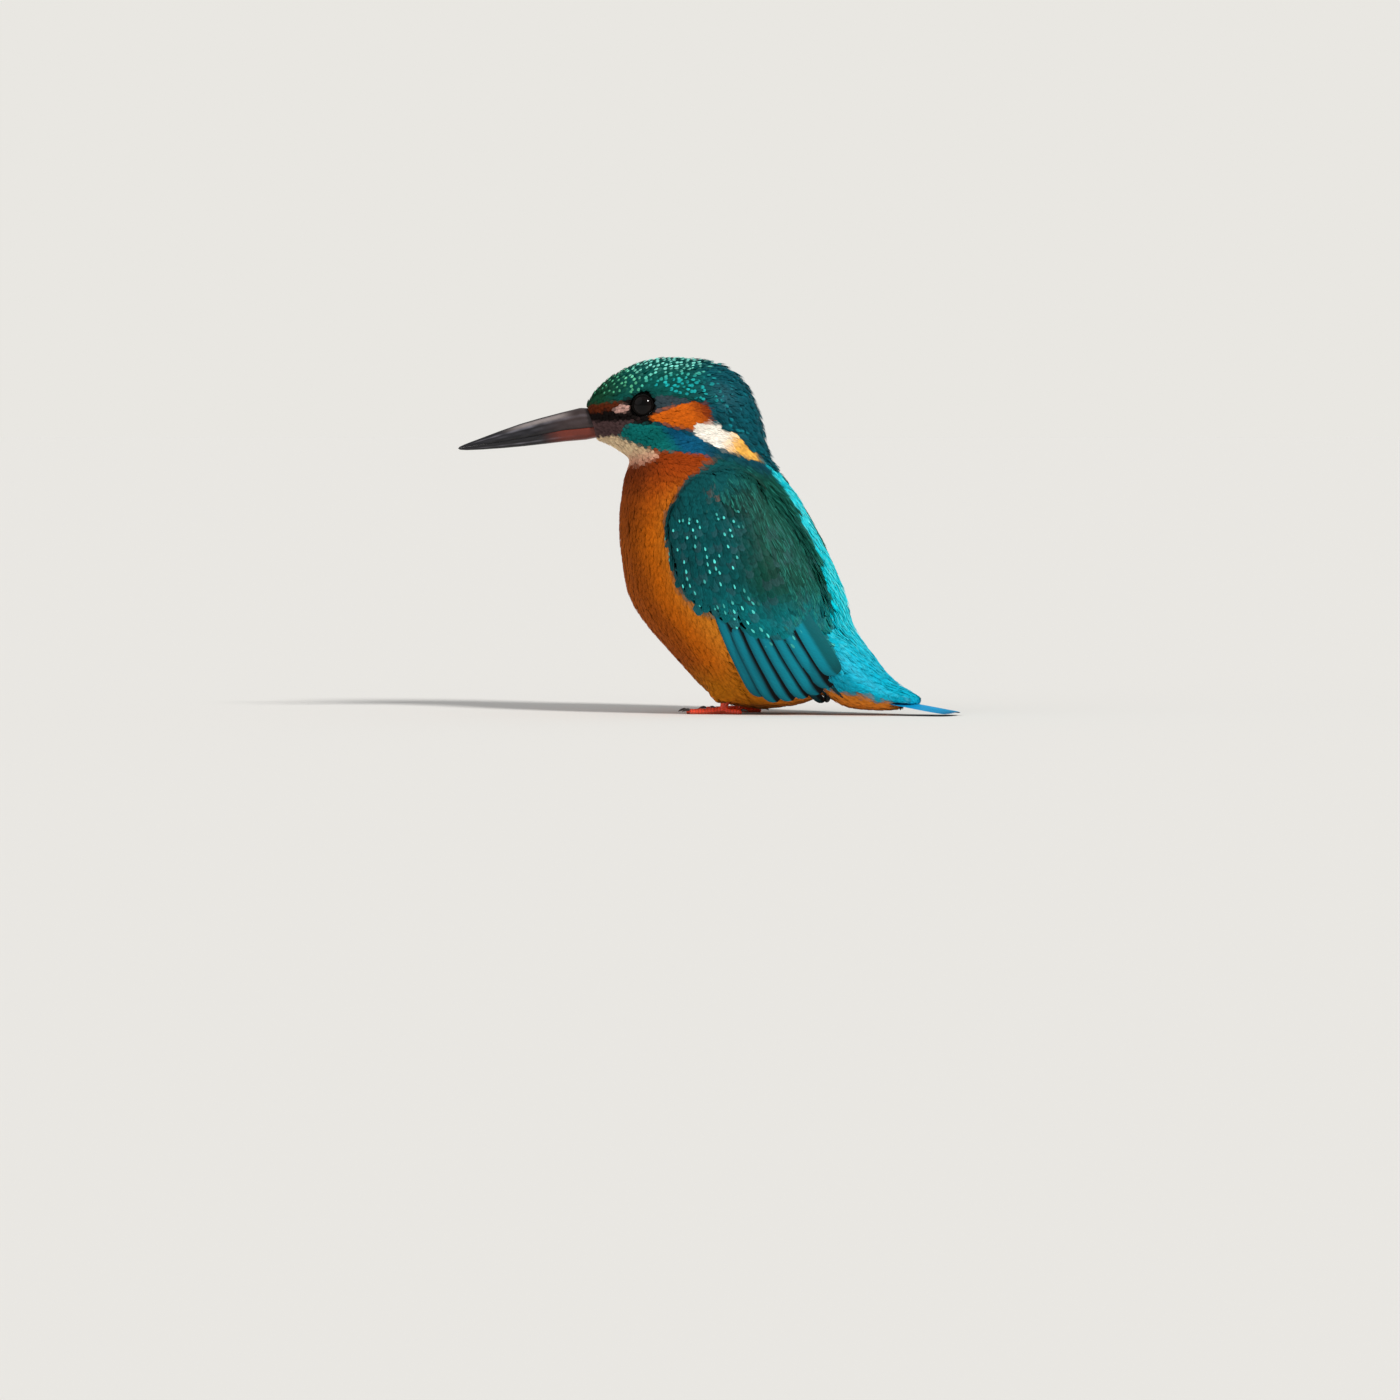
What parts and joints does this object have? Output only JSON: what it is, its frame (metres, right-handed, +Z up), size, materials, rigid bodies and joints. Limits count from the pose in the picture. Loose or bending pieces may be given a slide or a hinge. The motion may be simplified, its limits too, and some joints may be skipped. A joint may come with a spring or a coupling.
{
  "type": "kingfisher figure",
  "caption": "Life-size common kingfisher standing upright and still, head turned a little to its left, long dagger bill, folded wings, short tail resting on the ground.",
  "frame": {"origin": "middle of the bounding box in plan, on the ground under the soles and the tail tip", "axes": "+Z up, the body faces -Y, +X is the bird's left side"},
  "size_m": [0.0522, 0.1378, 0.0974],
  "materials": {
    "crown": "dark teal head feathers with bright turquoise bars, rufous ear patch and white neck patch",
    "breast": "soft rufous-orange plumage with hair-fine barbs",
    "wing": "dark blue-green covert feathers with small turquoise tip spots",
    "flight": "teal flight feathers with dark inner vanes and a satin sheen",
    "rump": "loose brilliant cyan-blue plumes",
    "tail": "blue tail feathers with dark shafts",
    "bill": "dark grey horn, satin, reddish at the base of the lower half",
    "eye": "wet dark brown, nearly black, high gloss",
    "foot": "orange-red scaled skin",
    "claw": "dark horn, satin"
  },
  "bodies": {
    "root": {"bill_upper": "bill", "bill_lower": "bill", "eye_left": "eye", "eye_right": "eye", "head": "crown", "neck": "breast", "trunk": "breast", "rump": "rump", "tail": "tail", "wing_coverts_left": "wing", "wing_coverts_right": "wing", "wing_secondaries_left": "flight", "wing_secondaries_right": "flight", "wing_primaries_left": "flight", "wing_primaries_right": "flight", "thigh_left": "breast", "thigh_right": "breast", "tarsus_left": "foot", "tarsus_right": "foot", "foot_left": "foot", "foot_right": "foot", "claw_middle_left": "claw", "claw_middle_right": "claw", "claw_outer_left": "claw", "claw_outer_right": "claw", "claw_inner_left": "claw", "claw_inner_right": "claw", "claw_hind_left": "claw", "claw_hind_right": "claw"}
  },
  "joints": []
}
